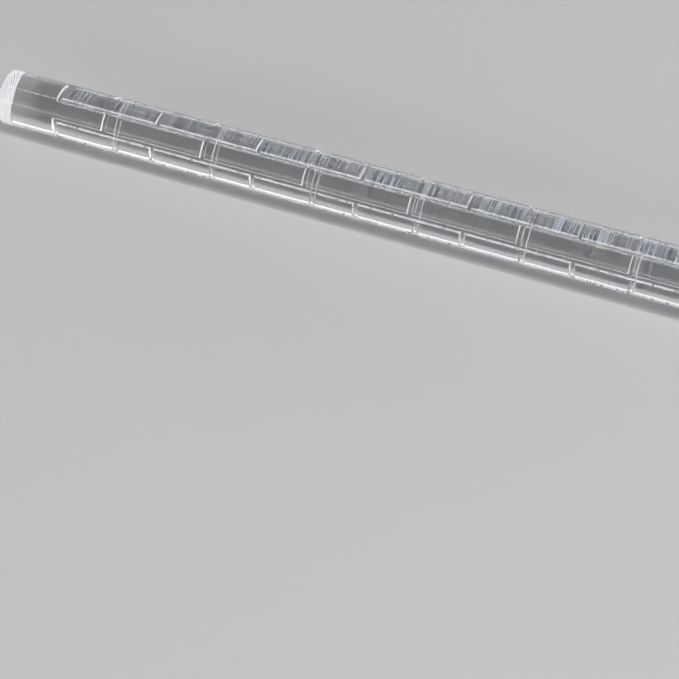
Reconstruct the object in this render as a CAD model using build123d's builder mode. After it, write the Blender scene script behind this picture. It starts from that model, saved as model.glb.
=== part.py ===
"""Clear acrylic embossing rod with a brick pattern engraved round it, in millimetres.

One solid rod lies along X, with its middle at the origin and +Z up. The pattern is a
brick wall in running bond: lengthwise grooves part the courses, and short curved
grooves, the joints, part the bricks of each course. Both ends of the rod stay plain.
"""

from build123d import *
from math import asin, atan, degrees
import os

# Driving dimensions of the rod
rod_diameter = 20.0
rod_length = 316.0
end_chamfer = 0.35

# Driving dimensions of the brick pattern
brick_pitch = 38.5
bricks_in_row = 7
courses_around = 8

# Driving dimensions of every groove
groove_width = 2.0
groove_floor_width = 1.2
groove_depth = 0.7

# How far a cutting shape runs past the surface that it cuts
cut_overrun = 0.5

# Sizes that follow
rod_radius = rod_diameter / 2
floor_radius = rod_radius - groove_depth
half_pitch = brick_pitch / 2
pattern_length = bricks_in_row * brick_pitch
course_angle = 360 / courses_around
wall_slope = (groove_width - groove_floor_width) / 2 / groove_depth
wall_draft = degrees(atan(wall_slope))
outer_radius = rod_radius + cut_overrun
inner_radius = floor_radius - cut_overrun
outer_width = groove_width + 2 * cut_overrun * wall_slope
inner_width = groove_floor_width - 2 * cut_overrun * wall_slope


def joint_stations(course):
    """Places along X of the joints in one course: every second course starts half a brick on."""
    first_half = course % 2
    stations = range(first_half, 2 * bricks_in_row + 1, 2)
    return [station * half_pitch - pattern_length / 2 for station in stations]


# The grooves, as the solid that a tapered round cutter takes away
with BuildPart() as engraving:
    # Lengthwise grooves, one at each side of a course, with round ends
    for course in range(courses_around):
        edge_angle = (course + 0.5) * course_angle
        with BuildSketch(Plane.XY.rotated((edge_angle, 0, 0)).offset(outer_radius)):
            SlotCenterToCenter(pattern_length, outer_width)
        extrude(amount=-(outer_radius - inner_radius), taper=wall_draft)

    # Joints, swept round the rod from one lengthwise groove to the next
    for course in range(courses_around):
        start_angle = (course - 0.5) * course_angle
        with BuildSketch(Plane.XZ.rotated((start_angle, 0, 0))):
            for station in joint_stations(course):
                with BuildLine():
                    Polyline(
                        (station - inner_width / 2, inner_radius),
                        (station + inner_width / 2, inner_radius),
                        (station + outer_width / 2, outer_radius),
                        (station - outer_width / 2, outer_radius),
                        close=True,
                    )
                make_face()
        revolve(axis=Axis.X, revolution_arc=course_angle)

    # All grooves share one round floor
    Cylinder(floor_radius, rod_length, rotation=(0, 90, 0), mode=Mode.SUBTRACT)


# The rod, turned from its half section with broken rims, with the pattern cut into it
with BuildPart() as embossing_rod:
    with BuildSketch(Plane.XZ) as half_section:
        Rectangle(rod_length, rod_radius, align=(Align.CENTER, Align.MIN))
        chamfer(half_section.vertices().group_by(Axis.Y)[-1], length=end_chamfer)
    revolve(axis=Axis.X)
    add(engraving.part, mode=Mode.SUBTRACT)
embossing_rod.part.label = "embossing_rod"


os.makedirs("parts", exist_ok=True)
export_step(embossing_rod.part, "parts/embossing_rod.step")

groove_angle = 2 * degrees(asin(groove_width / rod_diameter))
print("solids", len(embossing_rod.solids()), "volume", embossing_rod.part.volume)
print("groove angle at the surface", groove_angle)
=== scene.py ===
"""Looks of a clear acrylic embossing rod with a brick pattern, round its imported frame."""

import math

import bpy
import numpy as np
from mathutils import Matrix, Vector


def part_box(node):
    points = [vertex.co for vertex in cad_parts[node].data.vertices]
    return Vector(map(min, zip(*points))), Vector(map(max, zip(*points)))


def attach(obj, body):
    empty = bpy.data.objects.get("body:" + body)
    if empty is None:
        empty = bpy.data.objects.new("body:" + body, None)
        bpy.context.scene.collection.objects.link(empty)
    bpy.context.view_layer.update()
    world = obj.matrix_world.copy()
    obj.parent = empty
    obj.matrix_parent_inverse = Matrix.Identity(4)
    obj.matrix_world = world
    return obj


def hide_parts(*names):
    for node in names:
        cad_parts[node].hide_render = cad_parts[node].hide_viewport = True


MM = 0.001

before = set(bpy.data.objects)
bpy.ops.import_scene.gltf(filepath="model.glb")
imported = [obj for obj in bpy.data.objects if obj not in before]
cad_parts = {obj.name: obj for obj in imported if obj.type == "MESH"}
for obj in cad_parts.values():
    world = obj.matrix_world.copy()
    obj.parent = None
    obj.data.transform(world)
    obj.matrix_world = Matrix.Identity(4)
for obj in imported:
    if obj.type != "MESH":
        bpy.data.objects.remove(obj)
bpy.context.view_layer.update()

# The rod's own size comes from the frame
ROD_NODE = "embossing_rod"
rod_low, rod_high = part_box(ROD_NODE)
rod_length = rod_high.x - rod_low.x
rod_radius = (rod_high.z - rod_low.z) / 2

# The engraved pattern and the broken rims, with the same sizes as the part
BRICK_PITCH = 38.5 * MM
BRICKS_IN_ROW = 7
COURSES_AROUND = 8
GROOVE_WIDTH = 2.0 * MM
GROOVE_FLOOR_WIDTH = 1.2 * MM
GROOVE_DEPTH = 0.7 * MM
END_CHAMFER = 0.35 * MM

# Depth over which the rims and the feet of the groove walls are rounded
EDGE_BLEND = 0.22 * MM

# Mesh lines across one groove, as shares of its half width, close together on the wall
GROOVE_LINE_SHARES = (
    0, 0.3, 0.46, 0.51, 0.55, 0.59, 0.63, 0.67, 0.72, 0.8, 0.87, 0.92, 0.96, 1.0, 1.04, 1.08, 1.13
)

# Mesh lines between two grooves, and rings on each rim and on each end face
LAND_LINES_AROUND = 24
LAND_LINES_ALONG = 5
RIM_RINGS = 3
FACE_RINGS = 5

# Room for rounding errors where the mesh lines come back round to the first one, in radians
ANGLE_SLACK = 1e-9

# An edge that turns by more than this is shaded sharp
SHARP_ANGLE = math.radians(38)

# The photograph's camera: its focal length in pixels of the photograph, its place along the
# rod, its distance from the rod's axis, and its angle above the floor
IMAGE_SIDE_PX = 679
FOCAL_PX = 1802
SENSOR_WIDTH_MM = 36.0
CAMERA_X = 145.28 * MM
CAMERA_REACH = 601.1 * MM
CAMERA_ELEVATION = math.radians(47.4)
CAMERA_NEAR = 0.01
CAMERA_FAR = 50

# The directions along the rod and from its axis to the camera, as they lie in the picture:
# x right, y down, z away from the camera
ROD_IN_VIEW = Vector((0.9275, 0.2725, -0.2560))
TOWARDS_IN_VIEW = Vector((-0.2687, 0.0098, -0.9632))

# Softboxes that face the rod: azimuth and elevation in degrees, width and height in metres,
# and the brightness of the lit face
SOFTBOX_DISTANCE = 2.5
SOFTBOXES = {
    "right key": (350, 46, 0.8, 1.6, 10),
    "left fill": (203, 16, 0.9, 1.0, 5),
    "overhead tube": (270, 87, 5.0, 0.11, 10),
    "low right front": (325, 5, 2.2, 0.45, 7),
    "low left front": (205, 5, 1.5, 0.45, 7),
    "low right back": (25, 5, 1.4, 0.4, 6.5),
    "low left back": (150, 5, 1.2, 0.36, 7),
    "low back": (100, 3.5, 3.6, 0.36, 0.45),
    "front fill": (262, 22, 3.0, 0.5, 2.2),
}

# The acrylic: clear, with a little haze and very shallow waves
ACRYLIC_IOR = 1.49
ACRYLIC_ROUGHNESS = (0.005, 0.035)
CLEAR_COLOUR = (0.985, 0.99, 1.0, 1)
HAZE_PER_METRE = 180
HAZE_DETAIL = 4.0
WAVES_PER_METRE = 140
WAVE_DETAIL = 2.0
WAVE_DEPTH = 0.05 * MM

# The groove walls: satin, in some patches more than in others
WALL_REACH_SHARE = 0.6
WALL_FADE_SHARE = 0.25
WALL_ROUGHNESS = 0.45
WALL_CLEARNESS = 0.5
WALL_PATCHES_PER_METRE = 260
WALL_PATCH_DETAIL = 2.0
WALL_PATCH_SPAN = (0.4, 0.58)
WALL_STRENGTHS = (0.55, 1.0)

# The marks that a turning tool left round the rod. Their colour is painted light: dark blue streaks
# of painted reflection, and pale streaks of painted highlight, which are also satin
MARKS_PER_METRE = 1800
MARK_BREAKS_PER_METRE = 40
MARK_DETAIL = 1.0
MARK_DEPTH = 0.016 * MM
PAINTED_DARK_REFLECTION_COLOUR = (0.12, 0.19, 0.42, 1)
PAINTED_DARK_REFLECTION_SPAN = (0.5, 0.62)
PAINTED_HIGHLIGHT_STREAK_COLOUR = (0.74, 0.84, 1.0, 1)
SATIN_AND_PAINTED_HIGHLIGHT_SPAN = (0.52, 0.4)

# Where those marks are strong: towards the right end, in blotches, and in the course on top, where
# the highlight band falls, so that their painted highlight and painted reflection gather there
MARKS_LEFT_RIGHT = (0.45, 1.0)
MARKS_ELSEWHERE = 0.15
MARKS_FADE = 1.5 * MM
LIT_TOP_COURSE_FROM = 8.7 * MM
LIT_TOP_COURSE_FULL = 9.3 * MM
BLOTCHES_PER_METRE = 130
BLOTCH_DETAIL = 2.0
BLOTCH_SPAN = (0.4, 0.6)
BLOTCH_STRENGTHS = (0.45, 1.0)

# The sawn end faces: ground white, with the bowed lines of a round saw here and there
GROUND_COLOUR = (0.985, 0.99, 0.995, 1)
SAWN_ROUGHNESS = (0.45, 0.7)
THROUGH_SHARE = 0.5
SAW_RADIUS = 120 * MM
SAW_LINE_COLOUR = (0.5, 0.54, 0.61, 1)
SAW_LINE_SHARE = 0.4
SAW_LINES = 230.0
SAW_WAVER = 2.5
SAW_WAVER_DETAIL = 2.0
SAW_WAVER_SCALE = 0.35
SAW_DEPTH = 0.05 * MM
SAW_DEPTH_SHARE = 0.6
SAW_PATCHES_PER_METRE = 170
SAW_PATCH_DETAIL = 1.0
SAW_PATCH_SPAN = (0.42, 0.6)
SAW_STRENGTHS = (0.1, 1.0)

# The floor, which fades into the backdrop between these distances from its middle
FLOOR_COLOUR = (0.63, 0.63, 0.63, 1)
FLOOR_ROUGHNESS = 0.7
FLOOR_SIZE = 8.0
FLOOR_FADE_FROM = 0.35
FLOOR_FADE_TO = 1.3

# The room and the backdrop: a low colour at the horizon, which turns into a high one by the
# height, from 0 to 1, at which a direction points up
ROOM_COLOUR_LOW = (0.004, 0.004, 0.004, 1)
ROOM_COLOUR_HIGH = (0.02, 0.02, 0.02, 1)
BACKDROP_COLOUR_LOW = (0.8, 0.8, 0.8, 1)
BACKDROP_COLOUR_HIGH = (0.3, 0.3, 0.3, 1)
HIGH_COLOUR_FROM = 0.8

# A ray has been scattered once its count of diffuse bounces is past this
SCATTERED_PAST = 0.5

# Sizes that follow
half_pitch = BRICK_PITCH / 2
pattern_length = BRICKS_IN_ROW * BRICK_PITCH
course_angle = 2 * math.pi / COURSES_AROUND
wall_run = (GROOVE_WIDTH - GROOVE_FLOOR_WIDTH) / 2


def smooth_min(a, b, blend):
    """The smaller of two values, with a round turn where they cross."""
    share = np.clip(0.5 + 0.5 * (b - a) / blend, 0, 1)
    return b + (a - b) * share - blend * share * (1 - share)


def groove_distance(x, angle):
    """Distance on the rod's surface from the nearest groove's middle line."""
    course = np.round(angle / course_angle)
    off_course = angle - course * course_angle
    beside = (course_angle / 2 - np.abs(off_course)) * rod_radius
    past_end = np.maximum(np.abs(x) - pattern_length / 2, 0)
    lengthwise = np.hypot(beside, past_end)
    odd = np.mod(course, 2)
    station = (x + pattern_length / 2) / half_pitch
    nearest = np.round((station - odd) / 2) * 2 + odd
    nearest = np.clip(nearest, odd, 2 * BRICKS_IN_ROW - odd)
    joint = np.abs(station - nearest) * half_pitch
    return np.minimum(lengthwise, joint)


def surface_radius(x, angle):
    """Radius of the engraved surface at a place along the rod and an angle round it."""
    from_rim = GROOVE_WIDTH / 2 - groove_distance(x, angle)
    wall = from_rim / wall_run * GROOVE_DEPTH
    open_depth = -smooth_min(-wall, 0, EDGE_BLEND)
    return rod_radius - smooth_min(open_depth, GROOVE_DEPTH, EDGE_BLEND)


def wall_share(x, angle):
    """1 on a groove's wall and 0 on its floor and on the land beside it."""
    wall_middle = (GROOVE_WIDTH + GROOVE_FLOOR_WIDTH) / 4
    off_middle = np.abs(groove_distance(x, angle) - wall_middle)
    return np.clip((WALL_REACH_SHARE * wall_run - off_middle) / (WALL_FADE_SHARE * wall_run), 0, 1)


def lines_through(centres, half_width, between, low=None, high=None):
    """Mesh lines that crowd at each centre, with a few even ones between neighbours."""
    offsets = np.array(GROOVE_LINE_SHARES) * half_width
    around = np.concatenate([-offsets[:0:-1], offsets])
    lines = [centre + around for centre in centres]
    edges = [(centre + around[-1], after + around[0]) for centre, after in zip(centres, centres[1:])]
    if low is not None:
        edges.append((low, centres[0] + around[0]))
        edges.append((centres[-1] + around[-1], high))
    for start, end in edges:
        lines.append(np.linspace(start, end, between + 2)[1:-1])
    return np.sort(np.concatenate(lines))


def wall_lines():
    """Places along the rod's round wall and angles round it, where its mesh lines run."""
    wall_end = rod_length / 2 - END_CHAMFER
    stations = [n * half_pitch - pattern_length / 2 for n in range(2 * BRICKS_IN_ROW + 1)]
    places = lines_through(stations, GROOVE_WIDTH / 2, LAND_LINES_ALONG, -wall_end, wall_end)
    places = np.concatenate([[-wall_end], places, [wall_end]])

    grooves = [(k + 0.5) * course_angle for k in range(COURSES_AROUND + 1)]
    angles = lines_through(grooves, GROOVE_WIDTH / 2 / rod_radius, LAND_LINES_AROUND)
    first = grooves[0] - ANGLE_SLACK
    return places, angles[(angles >= first) & (angles < first + 2 * math.pi)]


def rod_grid():
    """Places along the rod, radii and angles of the mesh's rings of points, from left to right."""
    places, angles = wall_lines()
    rim_steps = END_CHAMFER * np.linspace(0, 1, RIM_RINGS + 1)[1:]
    face_shares = np.linspace(1, 0, FACE_RINGS + 2)[1:-1]
    end_places = np.concatenate([places[-1] + rim_steps, np.full(FACE_RINGS, rod_length / 2)])
    end_radii = np.concatenate([rod_radius - rim_steps, (rod_radius - END_CHAMFER) * face_shares])

    all_places = np.concatenate([-end_places[::-1], places, end_places])
    x, angle = np.meshgrid(all_places, angles, indexing="ij")
    radius = surface_radius(x, angle)
    radius[: len(end_radii)] = end_radii[::-1, None]
    radius[-len(end_radii) :] = end_radii[:, None]
    return x, radius, angle


def rod_mesh():
    """The engraved rod as one closed mesh: a band between each two rings, and a fan at each end."""
    x, radius, angle = rod_grid()
    rings, around = x.shape
    points = np.stack([x, -radius * np.sin(angle), radius * np.cos(angle)], axis=-1).reshape(-1, 3)
    index = np.arange(rings * around).reshape(rings, around)
    after = np.roll(index, -1, axis=1)
    bands = np.stack([index[:-1], after[:-1], after[1:], index[1:]], axis=-1).reshape(-1, 4)
    left = len(points)
    right = left + 1
    points = np.concatenate([points, [[-rod_length / 2, 0, 0], [rod_length / 2, 0, 0]]])
    faces = bands.tolist()
    faces += [[left, after[0, j], index[0, j]] for j in range(around)]
    faces += [[right, index[-1, j], after[-1, j]] for j in range(around)]

    mesh = bpy.data.meshes.new("embossing_rod_fine")
    mesh.from_pydata(points.tolist(), [], faces)
    cut = mesh.attributes.new("cut", "FLOAT", "POINT")
    cut.data.foreach_set("value", np.append(wall_share(x, angle).ravel(), [0, 0]))
    mesh.polygons.foreach_set("use_smooth", [True] * len(faces))
    on_end = np.zeros(len(faces), dtype=np.int32)
    on_end[: FACE_RINGS * around] = 1
    on_end[(rings - 1 - FACE_RINGS) * around :] = 1
    mesh.polygons.foreach_set("material_index", on_end)
    mesh.validate()
    mesh.set_sharp_from_angle(angle=SHARP_ANGLE)
    return mesh


def new_material(name):
    """A material with nodes; gives it, its node tree and its main shader."""
    material = bpy.data.materials.new(name)
    material.use_nodes = True
    return material, material.node_tree, material.node_tree.nodes["Principled BSDF"]


def node(tree, kind, **inputs):
    """A shader node with its inputs set by name."""
    made = tree.nodes.new(kind)
    for name, value in inputs.items():
        made.inputs[name.replace("_", " ")].default_value = value
    return made


def feed(tree, value, socket):
    """Gives a socket its value: another node's output, or a plain number or colour."""
    if isinstance(value, bpy.types.NodeSocket):
        tree.links.new(value, socket)
    else:
        socket.default_value = value


def math_node(tree, operation, *values):
    """A Math node whose inputs are sockets or plain numbers; gives its output."""
    made = tree.nodes.new("ShaderNodeMath")
    made.operation = operation
    for value, socket in zip(values, made.inputs):
        feed(tree, value, socket)
    return made.outputs["Value"]


def map_range(tree, source, from_low, from_high, to_low, to_high):
    """A Map Range node between two pairs of values; gives its output."""
    made = node(
        tree, "ShaderNodeMapRange",
        From_Min=from_low, From_Max=from_high, To_Min=to_low, To_Max=to_high,
    )
    tree.links.new(source, made.inputs["Value"])
    return made.outputs["Result"]


def noise(tree, place, scale, detail):
    """A Noise node at a place; gives its value, which is 0 to 1."""
    made = node(tree, "ShaderNodeTexNoise", Scale=scale, Detail=detail)
    tree.links.new(place, made.inputs["Vector"])
    return made.outputs["Fac"]


def mix_colours(tree, share, first, second):
    """A colour between two, each a socket or a plain colour; gives its output."""
    made = tree.nodes.new("ShaderNodeMixRGB")
    feed(tree, share, made.inputs["Fac"])
    feed(tree, first, made.inputs["Color1"])
    feed(tree, second, made.inputs["Color2"])
    return made.outputs["Color"]


def mix_surfaces(tree, share, first, second):
    """Makes a mix of two shaders the surface of the material."""
    made = tree.nodes.new("ShaderNodeMixShader")
    feed(tree, share, made.inputs["Fac"])
    tree.links.new(first, made.inputs[1])
    tree.links.new(second, made.inputs[2])
    tree.links.new(made.outputs["Shader"], tree.nodes["Material Output"].inputs["Surface"])


def bump(tree, height, depth, strength, normal=None):
    """A Bump node, over another one's normal if that is given; gives its normal."""
    made = node(tree, "ShaderNodeBump", Distance=depth)
    tree.links.new(height, made.inputs["Height"])
    feed(tree, strength, made.inputs["Strength"])
    if normal is not None:
        tree.links.new(normal, made.inputs["Normal"])
    return made.outputs["Normal"]


def tool_marks(tree, place):
    """Fine lines round the rod, as a value from 0 to 1 that changes fast along it."""
    stretch = tree.nodes.new("ShaderNodeMapping")
    stretch.inputs["Scale"].default_value = (
        MARKS_PER_METRE, MARK_BREAKS_PER_METRE, MARK_BREAKS_PER_METRE
    )
    tree.links.new(place, stretch.inputs["Vector"])
    return noise(tree, stretch.outputs["Vector"], 1.0, MARK_DETAIL)


def painted_streak_and_satin_strength(tree, place, along, height, worked):
    """How much the marks' satin and painted streaks show: most in the blotches of the course on top,
    where the highlight band falls.
    """
    plain_from = pattern_length / 2
    plain_full = plain_from + MARKS_FADE
    from_middle = math_node(tree, "ABSOLUTE", along)
    in_pattern = map_range(tree, from_middle, plain_from, plain_full, 1.0, MARKS_ELSEWHERE)
    lit_top_course = map_range(tree, height, LIT_TOP_COURSE_FROM, LIT_TOP_COURSE_FULL, MARKS_ELSEWHERE, 1.0)
    patches = noise(tree, place, BLOTCHES_PER_METRE, BLOTCH_DETAIL)
    blotches = map_range(tree, patches, *BLOTCH_SPAN, *BLOTCH_STRENGTHS)
    strength = worked
    for share in (lit_top_course, blotches, in_pattern):
        strength = math_node(tree, "MULTIPLY", strength, share)
    return strength


def clear_acrylic():
    """Clear acrylic with satin groove walls, and the fine marks of a turning tool round it.

    The marks' colour is painted light: some are dark blue streaks of painted reflection, and others
    are pale streaks of painted highlight that are also satin. They grow towards the right end, come
    in blotches, and are strongest in the course on top, where the highlight band falls.
    """
    material, tree, shader = new_material("clear_acrylic")
    shader.inputs["IOR"].default_value = ACRYLIC_IOR
    place = tree.nodes.new("ShaderNodeTexCoord").outputs["Object"]
    split = tree.nodes.new("ShaderNodeSeparateXYZ")
    tree.links.new(place, split.inputs["Vector"])
    along = split.outputs["X"]

    marks = tool_marks(tree, place)
    worked = map_range(tree, along, rod_low.x, rod_high.x, *MARKS_LEFT_RIGHT)
    # Strength of the painted highlight and reflection streaks and of the satin marks, most in the
    # lit course on top
    strength = painted_streak_and_satin_strength(tree, place, along, split.outputs["Z"], worked)
    painted_dark_reflection = map_range(tree, marks, *PAINTED_DARK_REFLECTION_SPAN, 0.0, 1.0)
    painted_dark_reflection = math_node(tree, "MULTIPLY", painted_dark_reflection, strength)
    satin_and_painted_highlight = map_range(tree, marks, *SATIN_AND_PAINTED_HIGHLIGHT_SPAN, 0.0, 1.0)
    satin_and_painted_highlight = math_node(tree, "MULTIPLY", satin_and_painted_highlight, strength)
    # The tint carries painted highlight streaks in pale blue and painted reflection streaks in dark
    # blue
    tint = mix_colours(tree, satin_and_painted_highlight, CLEAR_COLOUR, PAINTED_HIGHLIGHT_STREAK_COLOUR)
    tint = mix_colours(tree, painted_dark_reflection, tint, PAINTED_DARK_REFLECTION_COLOUR)
    tree.links.new(tint, shader.inputs["Base Color"])

    waves = bump(tree, noise(tree, place, WAVES_PER_METRE, WAVE_DETAIL), WAVE_DEPTH, 1.0)
    marked = bump(tree, marks, MARK_DEPTH, worked, waves)
    tree.links.new(marked, shader.inputs["Normal"])

    cut = tree.nodes.new("ShaderNodeAttribute")
    cut.attribute_name = "cut"
    patches = noise(tree, place, WALL_PATCHES_PER_METRE, WALL_PATCH_DETAIL)
    worn = map_range(tree, patches, *WALL_PATCH_SPAN, *WALL_STRENGTHS)
    wall = math_node(tree, "MULTIPLY", cut.outputs["Fac"], worn)
    scuffed = math_node(tree, "MAXIMUM", wall, satin_and_painted_highlight)
    satin = map_range(tree, scuffed, 0.0, 1.0, 0.0, WALL_ROUGHNESS)
    clearness = map_range(tree, scuffed, 0.0, 1.0, 1.0, WALL_CLEARNESS)
    haze = noise(tree, place, HAZE_PER_METRE, HAZE_DETAIL)
    haze = map_range(tree, haze, 0.0, 1.0, *ACRYLIC_ROUGHNESS)
    tree.links.new(clearness, shader.inputs["Transmission Weight"])
    tree.links.new(math_node(tree, "ADD", haze, satin), shader.inputs["Roughness"])
    return material


def sawn_end():
    """A sawn end face: ground white, with light through it, and bowed saw lines in patches."""
    material, tree, shader = new_material("sawn_end")
    place = tree.nodes.new("ShaderNodeTexCoord").outputs["Object"]
    move = tree.nodes.new("ShaderNodeMapping")
    move.inputs["Location"].default_value = (0, SAW_RADIUS, 0)
    saw = node(
        tree, "ShaderNodeTexWave",
        Scale=SAW_LINES, Distortion=SAW_WAVER, Detail=SAW_WAVER_DETAIL, Detail_Scale=SAW_WAVER_SCALE,
    )
    saw.wave_type = "RINGS"
    saw.rings_direction = "X"
    tree.links.new(place, move.inputs["Vector"])
    tree.links.new(move.outputs["Vector"], saw.inputs["Vector"])
    bow = saw.outputs["Fac"]

    line = map_range(tree, bow, 0.0, SAW_LINE_SHARE, 1.0, 0.0)
    patches = noise(tree, place, SAW_PATCHES_PER_METRE, SAW_PATCH_DETAIL)
    strength = map_range(tree, patches, *SAW_PATCH_SPAN, *SAW_STRENGTHS)
    shown = math_node(tree, "MULTIPLY", line, strength)
    tint = mix_colours(tree, shown, GROUND_COLOUR, SAW_LINE_COLOUR)
    roughness = map_range(tree, bow, 0.0, 1.0, *SAWN_ROUGHNESS)
    tree.links.new(tint, shader.inputs["Base Color"])
    tree.links.new(bump(tree, bow, SAW_DEPTH, SAW_DEPTH_SHARE), shader.inputs["Normal"])
    tree.links.new(roughness, shader.inputs["Roughness"])

    through = tree.nodes.new("ShaderNodeBsdfTranslucent")
    tree.links.new(tint, through.inputs["Color"])
    mix_surfaces(tree, THROUGH_SHARE, shader.outputs["BSDF"], through.outputs["BSDF"])
    return material


def add_rod():
    """The engraved rod, in the place of its CAD node."""
    mesh = rod_mesh()
    mesh.materials.append(clear_acrylic())
    mesh.materials.append(sawn_end())
    rod = bpy.data.objects.new("engraved_rod", mesh)
    bpy.context.scene.collection.objects.link(rod)
    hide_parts(ROD_NODE)
    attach(rod, "root")


def seen_only(tree):
    """1 for rays that only look, straight or by gloss and glass, and 0 for rays that light."""
    path = tree.nodes.new("ShaderNodeLightPath")
    seen = math_node(tree, "MAXIMUM", path.outputs["Is Camera Ray"], path.outputs["Is Glossy Ray"])
    seen = math_node(tree, "MAXIMUM", seen, path.outputs["Is Transmission Ray"])
    unscattered = math_node(tree, "LESS_THAN", path.outputs["Diffuse Depth"], SCATTERED_PAST)
    return math_node(tree, "MULTIPLY", seen, unscattered)


def add_floor():
    """A plain pale floor that fades into the backdrop far from the rod."""
    bpy.ops.mesh.primitive_plane_add(size=FLOOR_SIZE, location=(0, 0, rod_low.z))
    floor = bpy.context.active_object
    floor.name = "floor"
    material, tree, shader = new_material("pale_floor")
    shader.inputs["Base Color"].default_value = FLOOR_COLOUR
    shader.inputs["Roughness"].default_value = FLOOR_ROUGHNESS
    place = tree.nodes.new("ShaderNodeTexCoord")
    reach = tree.nodes.new("ShaderNodeVectorMath")
    reach.operation = "LENGTH"
    tree.links.new(place.outputs["Object"], reach.inputs[0])
    far = map_range(tree, reach.outputs["Value"], FLOOR_FADE_FROM, FLOOR_FADE_TO, 0.0, 1.0)
    faded = math_node(tree, "MULTIPLY", far, seen_only(tree))
    glow = node(tree, "ShaderNodeEmission", Color=BACKDROP_COLOUR_LOW, Strength=1.0)
    mix_surfaces(tree, faded, shader.outputs["BSDF"], glow.outputs["Emission"])
    floor.data.materials.append(material)


def add_softbox(name, azimuth, elevation, width, height, radiance):
    """An area lamp that faces the rod, with the brightness that its own face shows."""
    lamp = bpy.data.lights.new(name, "AREA")
    lamp.shape = "RECTANGLE"
    lamp.size = width
    lamp.size_y = height
    lamp.energy = radiance * math.pi * width * height
    stand = bpy.data.objects.new(name, lamp)
    turn = math.radians(azimuth)
    rise = math.radians(elevation)
    away = Vector((math.cos(rise) * math.cos(turn), math.cos(rise) * math.sin(turn), math.sin(rise)))
    stand.location = away * SOFTBOX_DISTANCE
    stand.rotation_mode = "QUATERNION"
    stand.rotation_quaternion = away.to_track_quat("Z", "Y")
    stand.visible_camera = False
    bpy.context.scene.collection.objects.link(stand)


def height_ramp(tree, height, low_colour, high_colour):
    """A colour that goes from low to high as a direction rises from the horizon."""
    ramp = tree.nodes.new("ShaderNodeValToRGB")
    low, high = ramp.color_ramp.elements
    low.position = 0.0
    low.color = low_colour
    high.position = HIGH_COLOUR_FROM
    high.color = high_colour
    tree.links.new(height, ramp.inputs["Fac"])
    return ramp.outputs["Color"]


def add_world():
    """A dim studio room that lights the scene, and a pale backdrop that is only seen."""
    world = bpy.data.worlds.new("studio")
    world.use_nodes = True
    tree = world.node_tree
    place = tree.nodes.new("ShaderNodeTexCoord")
    split = tree.nodes.new("ShaderNodeSeparateXYZ")
    tree.links.new(place.outputs["Generated"], split.inputs["Vector"])
    room = height_ramp(tree, split.outputs["Z"], ROOM_COLOUR_LOW, ROOM_COLOUR_HIGH)
    backdrop = height_ramp(tree, split.outputs["Z"], BACKDROP_COLOUR_LOW, BACKDROP_COLOUR_HIGH)
    shown = mix_colours(tree, seen_only(tree), room, backdrop)
    tree.links.new(shown, tree.nodes["Background"].inputs["Color"])
    bpy.context.scene.world = world


def add_camera():
    """The photograph's camera, placed by how the rod's axis lies in its view."""
    along = Vector((1, 0, 0))
    towards = Vector((0, -math.cos(CAMERA_ELEVATION), math.sin(CAMERA_ELEVATION)))
    in_world = Matrix((along, towards, along.cross(towards))).transposed()
    seen_along = ROD_IN_VIEW.normalized()
    seen_towards = (TOWARDS_IN_VIEW - TOWARDS_IN_VIEW.dot(seen_along) * seen_along).normalized()
    in_view = Matrix((seen_along, seen_towards, seen_along.cross(seen_towards)))
    turn = in_world @ in_view
    right = turn @ Vector((1, 0, 0))
    up = turn @ Vector((0, -1, 0))
    back = turn @ Vector((0, 0, -1))

    data = bpy.data.cameras.new("camera")
    data.sensor_width = SENSOR_WIDTH_MM
    data.lens = FOCAL_PX / IMAGE_SIDE_PX * SENSOR_WIDTH_MM
    data.clip_start = CAMERA_NEAR
    data.clip_end = CAMERA_FAR
    camera = bpy.data.objects.new("camera", data)
    stand = Matrix.Translation(along * CAMERA_X + towards * CAMERA_REACH)
    camera.matrix_world = stand @ Matrix((right, up, back)).transposed().to_4x4()
    bpy.context.scene.collection.objects.link(camera)
    bpy.context.scene.camera = camera


bpy.context.scene.view_settings.view_transform = "Standard"
add_camera()
add_rod()
add_floor()
add_world()
for softbox_name, softbox in SOFTBOXES.items():
    add_softbox(softbox_name, *softbox)
